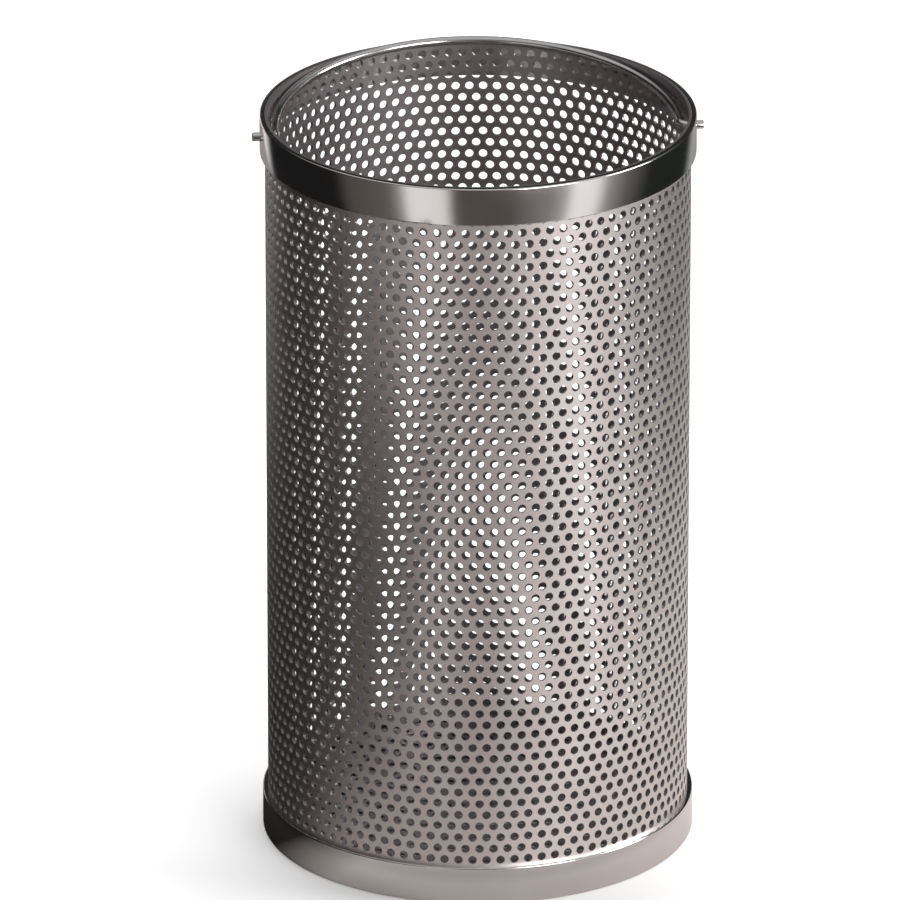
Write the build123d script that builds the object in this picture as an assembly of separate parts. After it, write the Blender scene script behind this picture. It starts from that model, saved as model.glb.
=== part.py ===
from build123d import *
from math import atan2, ceil, degrees, floor, hypot, pi, sin, sqrt
import os

# Autoclave basket: a rolled cylinder of perforated stainless sheet, stiffened by a flat
# band round its top and its bottom edge, closed by a perforated base plate, and carried
# by a round-wire bail that swings in two holes just under the rim.
# Millimetres. The origin is the centre of the foot, +Z is up, and the bail pivots about X.

# ---- driving dimensions -------------------------------------------------------------

basket_height = 435.0      # floor to rim
wall_outer_d = 242.0       # outside of the perforated sheet
sheet_t = 1.5              # perforated sheet of the wall

band_h = 22.0              # width of the flat strip that makes both bands
band_t = 3.0               # thickness of that strip
band_edge = 0.8            # its broken mill edges

base_t = 1.5               # base plate sheet
base_lift = 10.0           # underside of the base plate above the floor

wire_d = 5.0               # bail wire
pivot_drop = 11.0          # bail's axis below the rim
pivot_clear = 0.3          # radial play of the wire in its holes
bail_gap = 0.3             # radial play between the folded bail and the mouth
crown_rise = 1.0           # middle of the folded bail's wire above the rim
bend_r = 4.0               # middle radius of the bends into the pivot ends
bend_inset = 0.2           # each bend ends this far inside the wall
pin_reach = 4.5            # pivot end beyond the face of the band
pin_edge = 0.7             # broken edge of the pivot end

# The sheet is punched with round holes, in rows that are set off by half a pitch. It is
# drawn here at a coarser pitch, with the same layout and the same open share, and each
# hole has flat sides round the same area, which keeps the facets few.
punch_d = 5.0              # real hole
punch_pitch = 8.0          # real distance from hole to hole
punch_scale = 7.3          # drawn size over real size
hole_d = punch_d * punch_scale
hole_pitch = punch_pitch * punch_scale
hole_sides = 8             # flat sides of a drawn hole
hole_margin = 3.0          # least plain metal between a hole and a band
base_margin = 9.0          # plain rim of the base plate outside its holes

# ---- sizes that follow --------------------------------------------------------------

wall_r = wall_outer_d / 2
mouth_r = wall_r - sheet_t
band_r = wall_r + band_t
wire_r = wire_d / 2
pivot_z = basket_height - pivot_drop
row_step = hole_pitch * sqrt(3) / 2
hole_corner_r = hole_d / 2 * sqrt(2 * pi / (hole_sides * sin(2 * pi / hole_sides)))


def drawn_hole():
    """The flat outline of one hole, as wide as high, with the area of a round one."""
    return RegularPolygon(hole_corner_r, hole_sides, rotation=180 / hole_sides)


def ring(outer_r, inner_r, low_z, high_z):
    """A plain upright ring between two heights."""
    outer = Cylinder(outer_r, high_z - low_z, align=(Align.CENTER, Align.CENTER, Align.MIN))
    inner = Cylinder(inner_r, high_z - low_z, align=(Align.CENTER, Align.CENTER, Align.MIN))
    return Pos(0, 0, low_z) * (outer - inner)


def radial_cutter(section, angle, height):
    """A section run outwards through the wall and a band, at one angle and height."""
    start = mouth_r - sheet_t - band_t
    length = band_r + band_t - start
    cutter = extrude(section, length)
    return Pos(0, 0, height) * Rot(0, 0, angle) * Pos(start, 0, 0) * Rot(0, 90, 0) * cutter


def pivot_drills():
    """The two opposite holes that the ends of the bail turn in."""
    section = Circle(wire_r + pivot_clear)
    return [radial_cutter(section, angle, pivot_z) for angle in (0, 180)]


# ---- the wall -----------------------------------------------------------------------

def wall_holes():
    """Cutters of the staggered punching, between the two bands."""
    around = max(3, round(2 * pi * wall_r / hole_pitch))
    turn = 360 / around
    low = band_h + hole_margin + hole_d / 2
    high = basket_height - band_h - hole_margin - hole_d / 2
    rows = max(1, floor((high - low) / row_step) + 1)
    first = (low + high - (rows - 1) * row_step) / 2
    section = drawn_hole()
    cutters = []
    for row in range(rows):
        height = first + row * row_step
        offset = turn / 4 if row % 2 else -turn / 4
        for column in range(around):
            cutters.append(radial_cutter(section, offset + column * turn, height))
    return cutters


def perforated_wall():
    """The rolled sheet, with its punching and the two pivot holes."""
    sheet = ring(wall_r, mouth_r, 0, basket_height)
    return sheet - wall_holes() - pivot_drills()


# ---- bands --------------------------------------------------------------------------

def band(low_z):
    """A hoop of flat strip round the wall, its outer edges broken."""
    strip_x = wall_r + band_t / 2
    strip = Pos(strip_x, 0, low_z + band_h / 2) * Rot(90, 0, 0) * Rectangle(band_t, band_h)
    outer_corners = [v for v in strip.vertices() if v.X > strip_x]
    strip = chamfer(outer_corners, min(band_edge, band_t / 3))
    return revolve(strip, Axis.Z)


def top_band():
    """The upper band, drilled for the ends of the bail."""
    return band(basket_height - band_h) - pivot_drills()


def bottom_band():
    """The lower band, which is also the foot."""
    return band(0)


# ---- base plate ---------------------------------------------------------------------

def base_plate():
    """A round plate of punched sheet, welded inside the wall above the foot."""
    plate = Cylinder(mouth_r, base_t, align=(Align.CENTER, Align.CENTER, Align.MIN))
    reach = mouth_r - base_margin - hole_d / 2
    rows = ceil(reach / row_step)
    spots = []
    for row in range(-rows, rows + 1):
        shift = hole_pitch / 2 if row % 2 else 0
        columns = ceil(reach / hole_pitch) + 1
        for column in range(-columns, columns + 1):
            x = column * hole_pitch + shift
            y = row * row_step
            if hypot(x, y) <= reach:
                spots.append((x, y))
    cutter = extrude(drawn_hole(), 2 * base_t, both=True)
    return Pos(0, 0, base_lift) * (plate - [Pos(x, y, 0) * cutter for x, y in spots])


# ---- bail ---------------------------------------------------------------------------

# Folded back, the hoop's crown lies in the mouth beside the rear rim.
crown_y = mouth_r - bail_gap - wire_r
fold_tilt = degrees(atan2(pivot_drop + crown_rise, crown_y))
bail_reach = hypot(pivot_drop + crown_rise, crown_y)

# In the bail's own plane the hoop is one arc, tangent to a small bend at each pivot end.
bend_x = mouth_r - bend_inset
bend_rise = (bend_x**2 - bail_reach**2) / (2 * bail_reach)
hoop_y = bend_r - bend_rise
hoop_r = bail_reach - hoop_y
pin_x = band_r + pin_reach


def bent_wire(center, radius, start, turn):
    """A length of the wire bent flat round a centre, from one angle through a turn."""
    section = Plane(origin=(radius, 0, 0), z_dir=(0, 1, 0)) * Circle(wire_r)
    return Pos(*center) * Rot(0, 0, start) * revolve(section, Axis.Z, turn)


def pin():
    """One straight pivot end of the wire, with its cut end broken."""
    edge = min(pin_edge, wire_r / 2)
    rod = Cylinder(wire_r, pin_x - bend_x, align=(Align.CENTER, Align.CENTER, Align.MIN))
    rod = chamfer(rod.faces().sort_by(Axis.Z)[-1].edges(), edge)
    return Pos(bend_x, 0, 0) * Rot(0, 90, 0) * rod


def bail():
    """The wire hoop, folded back to the rim on its two pivot ends."""
    spread = degrees(atan2(bend_rise, bend_x))
    hoop = bent_wire((0, hoop_y), hoop_r, spread, 180 - 2 * spread)
    bend = bent_wire((bend_x, bend_r), bend_r, 180 + spread, 90 - spread)
    end = bend + pin()
    wire = hoop + end + mirror(end, about=Plane.YZ)
    return Pos(0, 0, pivot_z) * Rot(fold_tilt, 0, 0) * wire


# ---- write one file for each piece --------------------------------------------------

os.makedirs("parts", exist_ok=True)
export_step(perforated_wall(), "parts/perforated_wall.step")
export_step(top_band(), "parts/top_band.step")
export_step(bottom_band(), "parts/bottom_band.step")
export_step(base_plate(), "parts/base_plate.step")
export_step(bail(), "parts/bail_handle.step")
print("fold tilt", round(fold_tilt, 3), "swing", round(180 - 2 * fold_tilt, 3))
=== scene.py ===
# %% [markdown]
# # An autoclave basket, dressed for its picture
#
# The basket carries bottles and instruments into a steam steriliser. It is a tall cylinder
# rolled from punched stainless sheet, with a strip of flat bar round its top and its
# bottom edge, a punched plate welded in above the foot, and a wire bail on two pivots.
# The CAD model has its true sizes. This script gives it the fine punching, the bent wire
# and the finishes of the metal, and then sets it on a table in soft light.

# %% Load the frame
from math import atan2, ceil, cos, floor, hypot, pi, radians, sin, sqrt

import bmesh
import bpy
from mathutils import Matrix, Vector


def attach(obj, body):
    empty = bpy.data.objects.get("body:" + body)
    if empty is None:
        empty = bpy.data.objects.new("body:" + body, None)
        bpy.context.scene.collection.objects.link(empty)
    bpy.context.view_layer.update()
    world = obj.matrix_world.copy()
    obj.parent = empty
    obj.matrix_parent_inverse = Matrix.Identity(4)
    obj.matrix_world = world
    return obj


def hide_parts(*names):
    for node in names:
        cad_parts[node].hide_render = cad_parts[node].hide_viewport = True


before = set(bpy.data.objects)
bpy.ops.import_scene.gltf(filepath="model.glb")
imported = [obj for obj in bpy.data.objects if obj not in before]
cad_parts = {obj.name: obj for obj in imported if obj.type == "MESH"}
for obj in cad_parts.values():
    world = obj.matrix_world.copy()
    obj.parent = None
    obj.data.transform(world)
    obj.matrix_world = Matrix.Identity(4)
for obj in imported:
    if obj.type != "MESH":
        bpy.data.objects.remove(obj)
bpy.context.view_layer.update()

# %% [markdown]
# ## Sizes
#
# Every size is in metres. The wall's outside, the height and the wire come from the same
# drawing as the CAD model. The punching is a standard one: 5 mm holes, 8 mm apart, in
# rows that are set off by half a pitch, which makes every hole the centre of a hexagon.

# %% Sizes of the basket
MM = 0.001
HEIGHT = 435 * MM
WALL_R = 121 * MM
SHEET = 1.5 * MM
MOUTH_R = WALL_R - SHEET

BAND_H = 22 * MM
BAND_T = 3 * MM
BAND_R = WALL_R + BAND_T
BAND_EDGE = 0.8 * MM

BASE_LIFT = 10 * MM

WIRE_R = 2.5 * MM
PIVOT_DROP = 11 * MM
PIVOT_Z = HEIGHT - PIVOT_DROP
PIVOT_HOLE_R = 2.8 * MM

HOLE_R = 2.5 * MM
HOLES_ROUND = 95
PITCH = 2 * pi * WALL_R / HOLES_ROUND
ROW_STEP = PITCH * sqrt(3) / 2
FIRST_ROW_DROP = 7.05 * MM
ROWS = floor((HEIGHT - FIRST_ROW_DROP - HOLE_R - MM) / ROW_STEP) + 1
print("pitch", round(PITCH / MM, 3), "mm,", ROWS, "rows of", HOLES_ROUND)

# %% [markdown]
# ## Helpers for a finished piece
#
# A piece is shaped in a bmesh, which is Blender's mesh with its editing operators. When
# it is done, its points that lie on each other are merged, its faces are turned outwards,
# and it becomes an object that shades smoothly except across its sharp edges.

# %% Turn a bmesh into an object of the scene
MERGE = 0.01 * MM
SHARP = radians(40)


def closed_mesh(bm):
    """Merges the doubles of a shape and turns its faces outwards."""
    bmesh.ops.remove_doubles(bm, verts=bm.verts[:], dist=MERGE)
    bmesh.ops.recalc_face_normals(bm, faces=bm.faces[:])


def finished_object(bm, name):
    """Makes an object from a bmesh and shades it smooth, with sharp edges kept."""
    mesh = bpy.data.meshes.new(name)
    bm.to_mesh(mesh)
    bm.free()
    piece = bpy.data.objects.new(name, mesh)
    bpy.context.scene.collection.objects.link(piece)
    mesh.shade_smooth()
    mesh.set_sharp_from_angle(angle=SHARP)
    print(name, len(mesh.polygons), "faces")
    return piece


# %% Everything in a bmesh, as its operators want it
def all_of(bm):
    """Every point, edge and face of a shape in one list."""
    return bm.verts[:] + bm.edges[:] + bm.faces[:]


# %% [markdown]
# ## One hole of the punching
#
# The press strikes thousands of equal holes, so one hole with its share of sheet is the
# brick that the whole wall is laid from. The brick is a pitch wide and a row high. Its
# rim has twelve points, four steps along the top and the bottom and two up each side, so
# that a brick in the next row, half a pitch along, still meets it point to point. A
# circle of twelve points is joined to that rim with one strip of faces.

# %% Make the flat brick
HOLE_POINTS = 12
STEPS_ALONG, STEPS_UP = 4, 2
NEARLY_HALF = 0.49


def punched_brick():
    """A flat brick of sheet in the XY plane with a round hole at its middle."""
    bm = bmesh.new()
    stretch = Matrix.Diagonal((PITCH / 2, ROW_STEP / 2, 1, 1))
    bmesh.ops.create_grid(bm, x_segments=STEPS_ALONG, y_segments=STEPS_UP, size=1,
                          matrix=stretch)
    inside = [v for v in bm.verts
              if abs(v.co.x) < PITCH * NEARLY_HALF and abs(v.co.y) < MM]
    bmesh.ops.delete(bm, geom=inside, context="VERTS")
    bmesh.ops.create_circle(bm, segments=HOLE_POINTS, radius=HOLE_R, cap_ends=False)
    bmesh.ops.bridge_loops(bm, edges=bm.edges[:])
    return bm


brick = punched_brick()
print("brick", len(brick.verts), "points", len(brick.faces), "faces")
brick.free()

# %% [markdown]
# ## Rows of bricks, rolled to the cylinder
#
# The flat brick is stood up and rolled: its width becomes an arc, as in the rolls that
# bend the real sheet. One spin with copies lays a row round the cylinder. A second spin,
# which turns half a pitch and drops one row at each step, stacks the rows and gives the
# staggered layout without a case for odd and even rows. The sheet is too fine for one
# mesh, so it is made as three rings, parted between rows where nothing shows.

# %% Roll a brick and lay the rows
AXIS = (0, 0, 1)
PHASE = -0.0217  # radians from the X axis to the first hole of the top row


def rolled_brick(height):
    """A brick bent to the wall's outside, at one height, its hole on the phase angle."""
    bm = punched_brick()
    for v in bm.verts:
        angle = PHASE + v.co.x / WALL_R
        v.co = Vector((WALL_R * cos(angle), WALL_R * sin(angle), height + v.co.y))
    return bm


def ring_of_rows(first, count):
    """The punched sheet from one row down through the next ones, without thickness."""
    half = pi / HOLES_ROUND
    top = HEIGHT - FIRST_ROW_DROP - first * ROW_STEP
    bm = rolled_brick(top)
    bmesh.ops.rotate(bm, verts=bm.verts[:], matrix=Matrix.Rotation(half * first, 3, "Z"))
    bmesh.ops.spin(bm, geom=all_of(bm), axis=AXIS, angle=2 * half * (HOLES_ROUND - 1),
                   steps=HOLES_ROUND - 1, use_duplicate=True)
    bmesh.ops.spin(bm, geom=all_of(bm), axis=AXIS, dvec=(0, 0, -ROW_STEP),
                   angle=half * (count - 1), steps=count - 1, use_duplicate=True)
    bmesh.ops.remove_doubles(bm, verts=bm.verts[:], dist=MERGE)
    return bm


# %% Carry the sheet on, plain, to the rim and to the foot
def plain_border(bm, from_z, to_z):
    """Runs the rim of the sheet that lies at one height on to another height."""
    rim = [e for e in bm.edges if e.is_boundary
           and all(abs(v.co.z - from_z) < MERGE for v in e.verts)]
    made = bmesh.ops.extrude_edge_only(bm, edges=rim)
    moved = [v for v in made["geom"] if isinstance(v, bmesh.types.BMVert)]
    bmesh.ops.translate(bm, verts=moved, vec=(0, 0, to_z - from_z))


# %% [markdown]
# ## Thickness, and the two holes of the bail
#
# A punched sheet is recognised by the depth of its holes, so the rings get their real
# 1.5 mm, inwards, with the operator that turns a surface into a shell. The bail's pivot
# holes go through the sheet wherever the punching happens to lie, as a drill would, so
# they are cut out of the finished shell with a round cutter.

# %% Give the sheet its thickness
def shell(bm, thickness):
    """Turns the faces outwards and builds the sheet inwards from them."""
    bmesh.ops.recalc_face_normals(bm, faces=bm.faces[:])
    outer = bm.faces[0]
    centre = outer.calc_center_median()
    if outer.normal.dot(Vector((centre.x, centre.y, 0))) < 0:
        bmesh.ops.reverse_faces(bm, faces=bm.faces[:])
    bmesh.ops.solidify(bm, geom=bm.faces[:], thickness=thickness)


# %% A round cutter along X, and the cut itself
CUTTER_POINTS = 32


def x_cutter(radius, low_x, high_x, height):
    """A closed round bar along X, to cut with."""
    bm = bmesh.new()
    middle = (low_x + high_x) / 2
    place = Matrix.Translation((middle, 0, height)) @ Matrix.Rotation(pi / 2, 4, "Y")
    bmesh.ops.create_cone(bm, cap_ends=True, segments=CUTTER_POINTS, radius1=radius,
                          radius2=radius, depth=high_x - low_x, matrix=place)
    return finished_object(bm, "cutter")


def cut_away(piece, cutter, operation="DIFFERENCE"):
    """Cuts one closed shape with another, keeps the result and removes the cutter."""
    cut = piece.modifiers.new("cut", "BOOLEAN")
    cut.operation = operation
    cut.solver = "MANIFOLD"
    cut.object = cutter
    graph = bpy.context.evaluated_depsgraph_get()
    result = bpy.data.meshes.new_from_object(piece.evaluated_get(graph))
    piece.modifiers.clear()
    old = piece.data
    piece.data = result
    result.name = piece.name
    bpy.data.meshes.remove(old)
    bpy.data.objects.remove(cutter)
    result.shade_smooth()
    result.set_sharp_from_angle(angle=SHARP)
    print(piece.name, "cut,", len(result.polygons), "faces")


# %% Make the three rings of the wall
RINGS = 3
CUT_BEYOND = 5 * MM


def wall_ring(number):
    """One ring of the wall, its plain border included where it has one."""
    share = ceil(ROWS / RINGS)
    first = number * share
    count = min(share, ROWS - first)
    bm = ring_of_rows(first, count)
    if number == 0:
        plain_border(bm, HEIGHT - FIRST_ROW_DROP + ROW_STEP / 2, HEIGHT)
    if number == RINGS - 1:
        last = HEIGHT - FIRST_ROW_DROP - (ROWS - 1) * ROW_STEP
        plain_border(bm, last - ROW_STEP / 2, 0)
    shell(bm, SHEET)
    return finished_object(bm, f"wall_ring_{number + 1}")


wall_rings = [wall_ring(number) for number in range(RINGS)]
for side in (-1, 1):
    near, far = sorted((side * (MOUTH_R - CUT_BEYOND), side * (WALL_R + CUT_BEYOND)))
    cut_away(wall_rings[0], x_cutter(PIVOT_HOLE_R, near, far, PIVOT_Z))

# %% [markdown]
# ## The bands
#
# Both bands are hoops of flat bar. A hoop is one section spun about the basket's axis, so
# the section is drawn once, as four points, and spun full circle with its ends merged.
# The mill leaves the bar's outer edges slightly round. That small round is what catches
# the light as a thin bright line, so it is a real bevel of four segments.

# %% Spin and round a band
BAND_STEPS = 256
ROUND_SEGMENTS = 4
ROUND_PROFILE = 0.5


def band(name, low_z):
    """A hoop of flat bar with its outer edges rounded."""
    bm = bmesh.new()
    corners = [(WALL_R, low_z), (BAND_R, low_z), (BAND_R, low_z + BAND_H),
               (WALL_R, low_z + BAND_H)]
    points = [bm.verts.new((x, 0, z)) for x, z in corners]
    section = [bm.edges.new((points[i - 1], points[i])) for i in range(4)]
    bmesh.ops.spin(bm, geom=points + section, axis=AXIS, angle=2 * pi, steps=BAND_STEPS,
                   use_merge=True)
    closed_mesh(bm)
    edges = [e for e in bm.edges
             if all(hypot(v.co.x, v.co.y) > BAND_R - MERGE for v in e.verts)
             and abs(e.verts[0].co.z - e.verts[1].co.z) < MERGE]
    bmesh.ops.bevel(bm, geom=edges, offset=BAND_EDGE, affect="EDGES",
                    segments=ROUND_SEGMENTS, profile=ROUND_PROFILE, material=-1)
    return finished_object(bm, name)


top_band = band("top_band_hoop", HEIGHT - BAND_H)
bottom_band = band("bottom_band_hoop", 0)
for side in (-1, 1):
    near, far = sorted((side * (WALL_R - CUT_BEYOND), side * (BAND_R + CUT_BEYOND)))
    cut_away(top_band, x_cutter(PIVOT_HOLE_R, near, far, PIVOT_Z))

# %% [markdown]
# ## The base plate
#
# The plate is a disc cut from the same punched sheet, so the cut runs through holes at
# its edge. A field of bricks a little larger than the disc is laid flat, gets its
# thickness, and is then kept only where it lies inside a round cutter.

# %% Lay the field of bricks
PLATE_GAP = 0.1 * MM
PLATE_R = MOUTH_R - PLATE_GAP


def punched_field():
    """A flat field of bricks that covers the plate."""
    columns = ceil(2 * PLATE_R / PITCH) + 2
    rows = ceil(2 * PLATE_R / ROW_STEP) + 2
    bm = punched_brick()
    start = Vector((-(columns - 0.5) * PITCH / 2, -(rows - 1) * ROW_STEP / 2, 0))
    bmesh.ops.translate(bm, verts=bm.verts[:], vec=start)
    pair = bmesh.ops.duplicate(bm, geom=all_of(bm))["geom"]
    bmesh.ops.translate(bm, verts=[v for v in pair if isinstance(v, bmesh.types.BMVert)],
                        vec=(PITCH / 2, ROW_STEP, 0))
    bmesh.ops.spin(bm, geom=all_of(bm), axis=AXIS, angle=0, dvec=(PITCH, 0, 0),
                   steps=columns - 1, use_duplicate=True)
    bmesh.ops.spin(bm, geom=all_of(bm), axis=AXIS, angle=0, dvec=(0, 2 * ROW_STEP, 0),
                   steps=ceil(rows / 2) - 1, use_duplicate=True)
    bmesh.ops.remove_doubles(bm, verts=bm.verts[:], dist=MERGE)
    return bm


# %% Thicken the field and cut the disc
def base_disc():
    """The round plate, cut from the field."""
    bm = punched_field()
    bmesh.ops.recalc_face_normals(bm, faces=bm.faces[:])
    if bm.faces[0].normal.z < 0:
        bmesh.ops.reverse_faces(bm, faces=bm.faces[:])
    bmesh.ops.translate(bm, verts=bm.verts[:], vec=(0, 0, BASE_LIFT + SHEET))
    bmesh.ops.solidify(bm, geom=bm.faces[:], thickness=SHEET)
    plate = finished_object(bm, "base_disc")
    round_bar = bmesh.new()
    place = Matrix.Translation((0, 0, BASE_LIFT))
    bmesh.ops.create_cone(round_bar, cap_ends=True, segments=BAND_STEPS, radius1=PLATE_R,
                          radius2=PLATE_R, depth=4 * BASE_LIFT, matrix=place)
    cut_away(plate, finished_object(round_bar, "cutter"), "INTERSECT")
    return plate


base_plate = base_disc()

# %% [markdown]
# ## The bail
#
# The bail is one length of 5 mm wire. It is bent to a half hoop, turned outwards by a
# tight bend at each end, and sprung into the pivot holes. Half of it is drawn: a circle
# at the crown is spun along the hoop, spun again through the bend, and pushed straight
# out through the pivot. The mirror makes the other half.

# %% Sizes of the bent wire
BAIL_GAP = 0.3 * MM
CROWN_RISE = 1 * MM
BEND_R = 4 * MM
BEND_INSET = 0.2 * MM
PIN_REACH = 4.5 * MM
PIN_EDGE = 0.7 * MM

CROWN_Y = MOUTH_R - BAIL_GAP - WIRE_R
FOLD_TILT = atan2(PIVOT_DROP + CROWN_RISE, CROWN_Y)
BAIL_REACH = hypot(PIVOT_DROP + CROWN_RISE, CROWN_Y)
BEND_X = MOUTH_R - BEND_INSET
BEND_RISE = (BEND_X**2 - BAIL_REACH**2) / (2 * BAIL_REACH)
HOOP_Y = BEND_R - BEND_RISE
SPREAD = atan2(BEND_RISE, BEND_X)
PIN_X = BAND_R + PIN_REACH
print("hoop radius", round((BAIL_REACH - HOOP_Y) / MM, 2), "mm")

# %% Spin the wire
WIRE_POINTS = 28
HOOP_STEPS = 72
BEND_STEPS = 10


def last_ring(made):
    """The points and edges of the last ring that a spin has made."""
    return [g for g in made["geom_last"] if not isinstance(g, bmesh.types.BMFace)]


def bail_wire():
    """The half hoop, its bends and its pivot ends, folded back to the rim."""
    bm = bmesh.new()
    crown = Matrix.Translation((0, BAIL_REACH, 0)) @ Matrix.Rotation(pi / 2, 4, "Y")
    bmesh.ops.create_circle(bm, segments=WIRE_POINTS, radius=WIRE_R, cap_ends=False,
                            matrix=crown)
    ring = bm.verts[:] + bm.edges[:]
    made = bmesh.ops.spin(bm, geom=ring, cent=(0, HOOP_Y, 0), axis=AXIS,
                          angle=SPREAD - pi / 2, steps=HOOP_STEPS)
    made = bmesh.ops.spin(bm, geom=last_ring(made), cent=(BEND_X, BEND_R, 0), axis=AXIS,
                          angle=pi / 2 - SPREAD, steps=BEND_STEPS)
    made = bmesh.ops.spin(bm, geom=last_ring(made), cent=(0, 0, 0), axis=AXIS, angle=0,
                          dvec=(PIN_X - BEND_X, 0, 0), steps=1)
    tip = [e for e in last_ring(made) if isinstance(e, bmesh.types.BMEdge)]
    bmesh.ops.contextual_create(bm, geom=tip)
    bmesh.ops.bevel(bm, geom=tip, offset=PIN_EDGE, affect="EDGES",
                    segments=ROUND_SEGMENTS, profile=ROUND_PROFILE, material=-1)
    bmesh.ops.mirror(bm, geom=all_of(bm), axis="X", merge_dist=MERGE)
    closed_mesh(bm)
    fold = Matrix.Translation((0, 0, PIVOT_Z)) @ Matrix.Rotation(FOLD_TILT, 4, "X")
    bmesh.ops.transform(bm, matrix=fold, verts=bm.verts[:])
    return finished_object(bm, "bail_wire")


bail = bail_wire()

# %% [markdown]
# ## Rides
#
# Each finished piece is tied to the body of the mechanism that it moves with, and the
# CAD piece that it stands for is hidden.

# %% Tie the pieces to the mechanism
for ring in wall_rings:
    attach(ring, "basket")
    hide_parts("perforated_wall")

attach(base_plate, "basket")
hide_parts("base_plate")

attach(top_band, "basket")
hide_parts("top_band")

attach(bottom_band, "basket")
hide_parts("bottom_band")

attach(bail, "bail")
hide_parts("bail_handle")
print("pieces tied")

# %% [markdown]
# ## Building a material from nodes
#
# Stainless steel has hardly any colour of its own. What tells one finish from another is
# how sharply it mirrors, and how that changes over the surface, so each finish below is
# a metal whose roughness and fine relief come from stretched noise.

# %% Small helpers for node trees
def new_material(name):
    """A node material with one shader on its output, and that shader."""
    material = bpy.data.materials.new(name)
    material.use_nodes = True
    nodes = material.node_tree.nodes
    nodes.clear()
    shader = nodes.new("ShaderNodeBsdfPrincipled")
    output = nodes.new("ShaderNodeOutputMaterial")
    material.node_tree.links.new(shader.outputs["BSDF"], output.inputs["Surface"])
    return material, shader


def maths(tree, operation, first, second=None):
    """A Math node on values or sockets."""
    node = tree.nodes.new("ShaderNodeMath")
    node.operation = operation
    for socket, value in zip(node.inputs, (first, second)):
        if value is None:
            continue
        if isinstance(value, (int, float)):
            socket.default_value = value
        else:
            tree.links.new(value, socket)
    return node.outputs[0]


# %% Coordinates about the basket's axis
def object_axes(tree):
    """The X, Y and Z of Object coordinates as three sockets."""
    place = tree.nodes.new("ShaderNodeTexCoord")
    split = tree.nodes.new("ShaderNodeSeparateXYZ")
    tree.links.new(place.outputs["Object"], split.inputs[0])
    return split.outputs


def reach_of(tree, x, y):
    """The distance from the basket's axis."""
    squares = [maths(tree, "MULTIPLY", side, side) for side in (x, y)]
    return maths(tree, "SQRT", maths(tree, "ADD", *squares))


def way_round(tree, x, y, radius):
    """How far round the basket a point lies, measured along one radius."""
    return maths(tree, "MULTIPLY", maths(tree, "ARCTAN2", y, x), radius)


def dot_product(tree, x, y, direction):
    """How far a point or a direction reaches along a flat direction."""
    return maths(tree, "ADD", maths(tree, "MULTIPLY", x, direction.x),
                 maths(tree, "MULTIPLY", y, direction.y))


def joined(tree, x, y, z):
    """One vector from three values or sockets."""
    node = tree.nodes.new("ShaderNodeCombineXYZ")
    for socket, value in zip(node.inputs, (x, y, z)):
        if isinstance(value, (int, float)):
            socket.default_value = value
        else:
            tree.links.new(value, socket)
    return node.outputs[0]


NOISE_LOW, NOISE_HIGH = 0.3, 0.7


def noise(tree, vector, scale, detail=3.0):
    """Noise on a vector, as a socket that mostly lies between NOISE_LOW and NOISE_HIGH."""
    node = tree.nodes.new("ShaderNodeTexNoise")
    node.inputs["Scale"].default_value = scale
    node.inputs["Detail"].default_value = detail
    tree.links.new(vector, node.inputs["Vector"])
    return node.outputs["Fac"]


def stretched(tree, value, low, high, new_low, new_high):
    """Spreads a value from one span over another."""
    node = tree.nodes.new("ShaderNodeMapRange")
    for key, number in (("From Min", low), ("From Max", high), ("To Min", new_low),
                        ("To Max", new_high)):
        node.inputs[key].default_value = number
    tree.links.new(value, node.inputs["Value"])
    return node.outputs["Result"]


def relief(tree, height, shader, strength, distance):
    """Puts a height on a shader as a bump."""
    node = tree.nodes.new("ShaderNodeBump")
    node.inputs["Strength"].default_value = strength
    node.inputs["Distance"].default_value = distance
    tree.links.new(height, node.inputs["Height"])
    tree.links.new(node.outputs["Normal"], shader.inputs["Normal"])


def mix_node(tree, value):
    """A colour Mix node that a value steers, with its two colour sockets and its result."""
    node = tree.nodes.new("ShaderNodeMix")
    node.data_type = "RGBA"
    tree.links.new(value, node.inputs[0])
    return node.inputs[6], node.inputs[7], node.outputs[2]


def tint(tree, value, dark, light):
    """Mixes two fixed greys by a value."""
    first, second, result = mix_node(tree, value)
    first.default_value = (*dark, 1)
    second.default_value = (*light, 1)
    return result


def mixed(tree, value, first_colour, second_colour):
    """Mixes two colour sockets by a value."""
    first, second, result = mix_node(tree, value)
    tree.links.new(first_colour, first)
    tree.links.new(second_colour, second)
    return result


# %% [markdown]
# ## Punched sheet
#
# The outside of the sheet is glass blasted to an even pale satin, which blurs whatever it
# mirrors. The inside, the walls of the holes and the base plate get darker greys of the
# same metal, as painted shade, because they lie within the basket. One material serves
# them all: the distance from the basket's axis tells the outside from the rest. The grain
# of rolling shows as fine streaks round the basket, and a broad noise gives the clouds
# that handling leaves.

# %% A mask that is 1 outside the wall and 0 within
SKIN_DEPTH = 0.12 * MM


def outside_mask(tree, x, y):
    """1 on the outside of the wall, and 0 inside it and in its holes."""
    return maths(tree, "GREATER_THAN", reach_of(tree, x, y), WALL_R - SKIN_DEPTH)


# %% The outside finish of the sheet, and the painted shade of its inside
OUTSIDE_DARK, OUTSIDE_LIGHT = (0.63, 0.575, 0.555), (0.79, 0.735, 0.715)
# The inside greys are painted shade: darker than the outside because the inside lies in shade.
SHADED_INSIDE_DARK, SHADED_INSIDE_LIGHT = (0.34, 0.315, 0.32), (0.53, 0.495, 0.505)
OUTSIDE_ROUGH, INSIDE_ROUGH = 0.46, 0.40
GRAIN_SQUEEZE, GRAIN_SCALE, CLOUD_SCALE = 14.0, 700.0, 22.0
GRAIN_ROUGH = 0.05
GRAIN_STRENGTH, GRAIN_DEPTH = 0.25, 0.03 * MM


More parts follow.
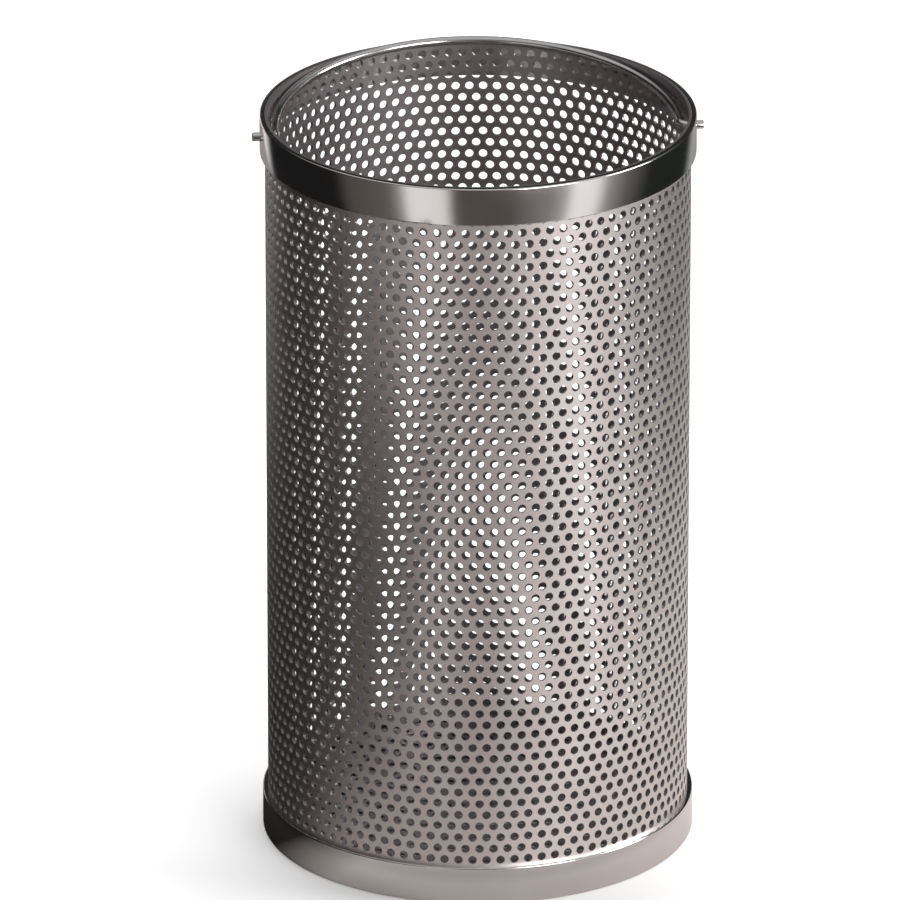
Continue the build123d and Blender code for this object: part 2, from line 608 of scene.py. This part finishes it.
def punched_sheet_finish_and_shade():
    """Pale satin outside, and darker greys everywhere else as painted shade."""
    material, shader = new_material("punched_sheet_finish_and_shade")
    tree = material.node_tree
    x, y, z = object_axes(tree)
    along = way_round(tree, x, y, WALL_R)
    squeezed = maths(tree, "MULTIPLY", z, GRAIN_SQUEEZE)
    grain = noise(tree, joined(tree, along, squeezed, 0.0), GRAIN_SCALE)
    cloud = noise(tree, joined(tree, x, y, z), CLOUD_SCALE)
    outside = outside_mask(tree, x, y)
    # The inside, the hole walls and the plate get the darker greys: painted shade.
    shaded_inner = tint(tree, cloud, SHADED_INSIDE_DARK, SHADED_INSIDE_LIGHT)
    outer = tint(tree, cloud, OUTSIDE_DARK, OUTSIDE_LIGHT)
    shader.inputs["Metallic"].default_value = 1.0
    tree.links.new(mixed(tree, outside, shaded_inner, outer), shader.inputs["Base Color"])
    base_rough = stretched(tree, outside, 0.0, 1.0, INSIDE_ROUGH, OUTSIDE_ROUGH)
    change = stretched(tree, grain, NOISE_LOW, NOISE_HIGH, -GRAIN_ROUGH, GRAIN_ROUGH)
    rough = maths(tree, "ADD", base_rough, change)
    tree.links.new(rough, shader.inputs["Roughness"])
    relief(tree, grain, shader, GRAIN_STRENGTH, GRAIN_DEPTH)
    return material


# %% [markdown]
# ## Polished bands
#
# The bands are brushed with a fine belt and then polished, so they mirror the room in
# long upright streaks. Very fine lines are left along the bar.

# %% The polish of the bands
BAND_DARK, BAND_LIGHT = (0.70, 0.68, 0.67), (0.78, 0.76, 0.75)
LINE_SQUEEZE, LINE_SCALE, LINE_DETAIL = 60.0, 260.0, 5.0
BAND_CLOUD_SCALE = 30.0
LINE_ROUGH, CLOUD_ROUGH = (0.10, 0.17), (-0.02, 0.03)
LINE_STRENGTH, LINE_DEPTH = 0.15, 0.02 * MM


def polished_band_finish():
    """A smooth metal with very fine lines along the bar."""
    material, shader = new_material("polished_band_finish")
    tree = material.node_tree
    x, y, z = object_axes(tree)
    along = way_round(tree, x, y, BAND_R)
    squeezed = maths(tree, "MULTIPLY", z, LINE_SQUEEZE)
    lines = noise(tree, joined(tree, along, squeezed, 0.0), LINE_SCALE, LINE_DETAIL)
    cloud = noise(tree, joined(tree, x, y, z), BAND_CLOUD_SCALE)
    shader.inputs["Metallic"].default_value = 1.0
    tree.links.new(tint(tree, cloud, BAND_DARK, BAND_LIGHT), shader.inputs["Base Color"])
    rough = maths(tree, "ADD", stretched(tree, lines, NOISE_LOW, NOISE_HIGH, *LINE_ROUGH),
                  stretched(tree, cloud, NOISE_LOW, NOISE_HIGH, *CLOUD_ROUGH))
    tree.links.new(rough, shader.inputs["Roughness"])
    relief(tree, lines, shader, LINE_STRENGTH, LINE_DEPTH)
    return material


# %% [markdown]
# ## Drawn wire
#
# Wire is pulled through a die, which leaves it bright with faint lines along its length.
# The noise therefore changes fast across the wire, and slowly with the angle about the
# basket's axis.

# %% The finish of the wire
WIRE_DARK, WIRE_LIGHT = (0.55, 0.54, 0.54), (0.72, 0.71, 0.71)
WIRE_LINE_STRETCH, WIRE_LINE_SCALE = 0.01, 900.0
WIRE_ROUGH = (0.12, 0.24)
WIRE_STRENGTH, WIRE_DEPTH = 0.2, 0.03 * MM


def wire_finish():
    """Bright drawn metal with faint lines along it."""
    material, shader = new_material("drawn_wire_finish")
    tree = material.node_tree
    x, y, z = object_axes(tree)
    angle = maths(tree, "ARCTAN2", y, x)
    reach = reach_of(tree, x, y)
    slow = maths(tree, "MULTIPLY", angle, WIRE_LINE_STRETCH)
    lines = noise(tree, joined(tree, slow, reach, z), WIRE_LINE_SCALE)
    shader.inputs["Metallic"].default_value = 1.0
    tree.links.new(tint(tree, lines, WIRE_DARK, WIRE_LIGHT), shader.inputs["Base Color"])
    tree.links.new(stretched(tree, lines, NOISE_LOW, NOISE_HIGH, *WIRE_ROUGH),
                   shader.inputs["Roughness"])
    relief(tree, lines, shader, WIRE_STRENGTH, WIRE_DEPTH)
    return material


# %% Put the finishes on
dressed = [([*wall_rings, base_plate], punched_sheet_finish_and_shade()),
           ([top_band, bottom_band], polished_band_finish()),
           ([bail], wire_finish())]
for pieces, finish in dressed:
    for piece in pieces:
        piece.data.materials.clear()
        piece.data.materials.append(finish)
print("finishes on")

# %% [markdown]
# ## The table
#
# The basket stands on a plain pale table. It ends a little way in front of the basket,
# because a bright metal mirrors whatever lies before it, and an endless white floor
# would wash the bands out. For the same reason its paint is pale only to the eye. In the
# metal it carries painted shade and painted light: almost black on the side that lies
# left and behind, a middle grey on the other sides, a little paler close to the foot,
# and a dark grey far away.

# %% A plain pale table top
TABLE_X, TABLE_FRONT, TABLE_BACK = 0.6, -0.3, 2.0


def table_top():
    """A flat pale sheet under the basket."""
    bm = bmesh.new()
    middle = Matrix.Translation((0, (TABLE_FRONT + TABLE_BACK) / 2, 0))
    spread = Matrix.Diagonal((TABLE_X, (TABLE_BACK - TABLE_FRONT) / 2, 1, 1))
    bmesh.ops.create_grid(bm, x_segments=1, y_segments=1, size=1, matrix=middle @ spread)
    return finished_object(bm, "table_top")


floor = table_top()


# %% Paint that is pale to the eye, with painted shade where the metal mirrors it
TABLE_PAINT = (0.9, 0.9, 0.9)
TABLE_ROUGH, TABLE_SHINE = 0.9, 0.1
# These greys are what the metal mirrors: painted shade at the left, behind and far away, and
# painted light close to the foot.
NEAR_LEFT, NEAR_RIGHT = (0.02, 0.018, 0.015), (0.56, 0.515, 0.495)
FAR_LEFT, FAR_RIGHT = (0.008, 0.007, 0.006), (0.42, 0.395, 0.385)
DARK_SIDE = Vector((-0.819, 0.574))
PALE_UNDER, DARK_OVER = 0.19, 0.66
BEYOND, BEYOND_FROM, BEYOND_TO = (0.20, 0.19, 0.19), 0.60, 0.90
NEAR_FOOT, FAR_FROM_FOOT = WALL_R + 30 * MM, WALL_R + 60 * MM


def table_paint_and_mirrored_shade():
    """Pale paint to the eye, and the greys above as painted shade and light where the metal
    mirrors it.
    """
    material, shader = new_material("pale_table_paint")
    tree = material.node_tree
    x, y = object_axes(tree)[:2]
    reach = reach_of(tree, x, y)
    away = stretched(tree, reach, NEAR_FOOT, FAR_FROM_FOOT, 0.0, 1.0)
    path = tree.nodes.new("ShaderNodeLightPath")
    seen, mirrored, colour = mix_node(tree, path.outputs["Is Glossy Ray"])
    seen.default_value = (*TABLE_PAINT, 1)
    cosine = maths(tree, "DIVIDE", dot_product(tree, x, y, DARK_SIDE), reach)
    side = stretched(tree, cosine, PALE_UNDER, DARK_OVER, 1.0, 0.0)
    near, far, dim = mix_node(tree, away)
    tree.links.new(tint(tree, side, NEAR_LEFT, NEAR_RIGHT), near)
    tree.links.new(tint(tree, side, FAR_LEFT, FAR_RIGHT), far)
    beyond = stretched(tree, reach, BEYOND_FROM, BEYOND_TO, 0.0, 1.0)
    close, distant, whole = mix_node(tree, beyond)
    tree.links.new(dim, close)
    distant.default_value = (*BEYOND, 1)
    tree.links.new(whole, mirrored)
    tree.links.new(colour, shader.inputs["Base Color"])
    shader.inputs["Roughness"].default_value = TABLE_ROUGH
    shader.inputs["Specular IOR Level"].default_value = TABLE_SHINE
    return material


floor.data.materials.append(table_paint_and_mirrored_shade())

# %% [markdown]
# ## A black card
#
# A black card beside bright metal gives it a dark side. This one stands to the left of
# the basket. Only the metal sees it: it throws no shadow and the camera looks through it.

# %% Stand the card to the left
CARD_PLACE = Vector((-0.21, -0.16, 0.10))
CARD_SIZE = Vector((0.24, 0.13))
CARD_BLACK = (0.005, 0.005, 0.005, 1)


def black_card():
    """A small black card that only mirrors see."""
    bm = bmesh.new()
    stand = Matrix.Rotation(pi / 2, 4, "Y")
    spread = Matrix.Diagonal((CARD_SIZE.y, CARD_SIZE.x, 1, 1))
    place = Matrix.Translation(CARD_PLACE) @ stand @ spread
    bmesh.ops.create_grid(bm, x_segments=1, y_segments=1, size=1, matrix=place)
    card = finished_object(bm, "black_card")
    card.visible_camera = card.visible_shadow = card.visible_diffuse = False
    material, shader = new_material("black_card_paper")
    shader.inputs["Base Color"].default_value = CARD_BLACK
    card.data.materials.append(material)
    return card


black_card()

# %% [markdown]
# ## The room that the metal mirrors
#
# A polished hoop shows the room as upright streaks, one for each direction round it. The
# room here is a world whose grey depends on the compass direction, laid out as a ramp:
# dark walls at the sides, a bright window to the front on each side, and a paler wall
# behind. Higher up the walls are plain, dark at the left and paler towards the right
# front, and a soft grey ceiling closes the room. The camera itself sees plain white
# behind the table.

# %% Directions of the room
ROOM_STREAKS = [
    (-180, (1.0, 0.97, 0.97)), (-154, (1.0, 0.97, 0.97)), (-145, (0.012, 0.012, 0.012)),
    (-84, (0.012, 0.012, 0.012)), (-76, (0.09, 0.08, 0.075)), (-52, (0.13, 0.11, 0.10)),
    (-46, (0.30, 0.28, 0.28)), (-41, (0.95, 0.93, 0.93)), (-22, (0.90, 0.86, 0.85)),
    (-17, (0.09, 0.075, 0.07)), (12, (0.10, 0.08, 0.075)), (34, (0.25, 0.23, 0.23)),
    (42, (0.42, 0.40, 0.40)), (47, (1.0, 1.0, 1.0)), (60, (1.0, 0.97, 0.97)),
    (67, (0.34, 0.30, 0.30)), (80, (0.12, 0.11, 0.11)), (97, (0.015, 0.018, 0.015)),
    (138, (0.015, 0.018, 0.015)), (150, (0.40, 0.40, 0.40)), (180, (0.50, 0.48, 0.48)),
]
UPPER_DARK, UPPER_PALE = (0.02, 0.02, 0.02), (0.30, 0.285, 0.285)
PALE_SIDE = Vector((0.75, -0.66))
DARK_UNDER, PALE_OVER = -0.1, 0.8
CEILING = (0.6, 0.6, 0.6, 1)
BACKDROP = (1, 1, 1, 1)
WALL_HEIGHTS = (0.12, 0.30)
CEILING_HEIGHTS = (0.55, 0.80)


def compass_ramp(tree, azimuth):
    """A colour ramp over the compass, from behind by the front to behind."""
    ramp = tree.nodes.new("ShaderNodeValToRGB")
    elements = ramp.color_ramp.elements
    while len(elements) > 1:
        elements.remove(elements[0])
    for number, (degree, grey) in enumerate(ROOM_STREAKS):
        place = (degree + 180) / 360
        element = elements[0] if number == 0 else elements.new(place)
        element.position = place
        element.color = (*grey, 1)
    tree.links.new(azimuth, ramp.inputs["Fac"])
    return ramp.outputs["Color"]


# %% The world
def room_world():
    """A world with the room for the metal and a plain backdrop for the camera."""
    world = bpy.data.worlds.new("studio_room")
    world.use_nodes = True
    tree = world.node_tree
    tree.nodes.clear()
    place = tree.nodes.new("ShaderNodeTexCoord")
    split = tree.nodes.new("ShaderNodeSeparateXYZ")
    tree.links.new(place.outputs["Generated"], split.inputs[0])
    x, y, z = split.outputs
    front = maths(tree, "MULTIPLY", y, -1.0)
    azimuth = stretched(tree, maths(tree, "ARCTAN2", x, front), -pi, pi, 0.0, 1.0)
    streaks = compass_ramp(tree, azimuth)
    wall_share = stretched(tree, z, *WALL_HEIGHTS, 0.0, 1.0)
    lower, upper, walled = mix_node(tree, wall_share)
    tree.links.new(streaks, lower)
    pale = stretched(tree, dot_product(tree, x, y, PALE_SIDE), DARK_UNDER, PALE_OVER, 0.0, 1.0)
    tree.links.new(tint(tree, pale, UPPER_DARK, UPPER_PALE), upper)
    up = stretched(tree, z, *CEILING_HEIGHTS, 0.0, 1.0)
    lower, upper, whole = mix_node(tree, up)
    tree.links.new(walled, lower)
    upper.default_value = CEILING
    room = tree.nodes.new("ShaderNodeBackground")
    tree.links.new(whole, room.inputs["Color"])
    plain = tree.nodes.new("ShaderNodeBackground")
    plain.inputs["Color"].default_value = BACKDROP
    path = tree.nodes.new("ShaderNodeLightPath")
    either = tree.nodes.new("ShaderNodeMixShader")
    tree.links.new(path.outputs["Is Camera Ray"], either.inputs[0])
    tree.links.new(room.outputs[0], either.inputs[1])
    tree.links.new(plain.outputs[0], either.inputs[2])
    output = tree.nodes.new("ShaderNodeOutputWorld")
    tree.links.new(either.outputs[0], output.inputs["Surface"])
    return world


bpy.context.scene.world = room_world()
print("room with", len(ROOM_STREAKS), "streak marks")

# %% [markdown]
# ## Lights
#
# The satin of the wall gets two broad lamps, one from the right front and one from the
# right, both lower than the camera. Nothing lights the left side, so the basket darkens
# towards it. A third lamp over the table keeps it pale. The metal does not see that one.

# %% Soft lights
WALL_MIDDLE = (0, 0, 0.22)


def soft_light(name, place, aim, size, power):
    """A square area light that looks at a point."""
    data = bpy.data.lights.new(name, "AREA")
    data.size = size
    data.energy = power
    light = bpy.data.objects.new(name, data)
    direction = Vector(aim) - Vector(place)
    light.location = place
    light.rotation_euler = direction.to_track_quat("-Z", "Y").to_euler()
    light.visible_camera = False
    bpy.context.scene.collection.objects.link(light)
    return light


table_light = soft_light("table_light", place=(0, 0.9, 2.2), aim=(0, 0.6, 0), size=1.8,
                         power=62)
table_light.visible_glossy = False
soft_light("front_light", place=(2.2, -3.6, 1.3), aim=WALL_MIDDLE, size=2.2, power=95)
soft_light("side_light", place=(3.6, -0.6, 1.5), aim=WALL_MIDDLE, size=1.6, power=85)

# %% [markdown]
# ## The camera
#
# The basket is seen from a long way off through a long lens, so its upright lines stay
# almost parallel. The camera looks down by about 22 degrees, from a little to the left.

# %% Place the camera
TARGET = Vector((0, 0, 0.2414))
DISTANCE = 7.655
LOOK_DOWN = radians(21.79)
TURN = radians(4.5)
LENS = 535.5
AIM_LEFT, AIM_DOWN = 15.94 * MM, 11.44 * MM
SENSOR = 36
NEAREST, FARTHEST = 0.1, 50


def long_lens_camera():
    """A camera on its long lens, turned and lowered as set above."""
    data = bpy.data.cameras.new("studio_camera")
    data.lens = LENS
    data.sensor_width = SENSOR
    data.clip_start = NEAREST
    data.clip_end = FARTHEST
    camera = bpy.data.objects.new("studio_camera", data)
    back = Vector((-sin(TURN) * cos(LOOK_DOWN), -cos(TURN) * cos(LOOK_DOWN),
                   sin(LOOK_DOWN)))
    turned = (-back).to_track_quat("-Z", "Y")
    right, up = turned @ Vector((1, 0, 0)), turned @ Vector((0, 1, 0))
    camera.location = TARGET - AIM_LEFT * right - AIM_DOWN * up + DISTANCE * back
    camera.rotation_euler = turned.to_euler()
    bpy.context.scene.collection.objects.link(camera)
    return camera


bpy.context.scene.camera = long_lens_camera()
bpy.context.scene.view_settings.view_transform = "Standard"
print("camera", [round(c, 3) for c in bpy.context.scene.camera.location])
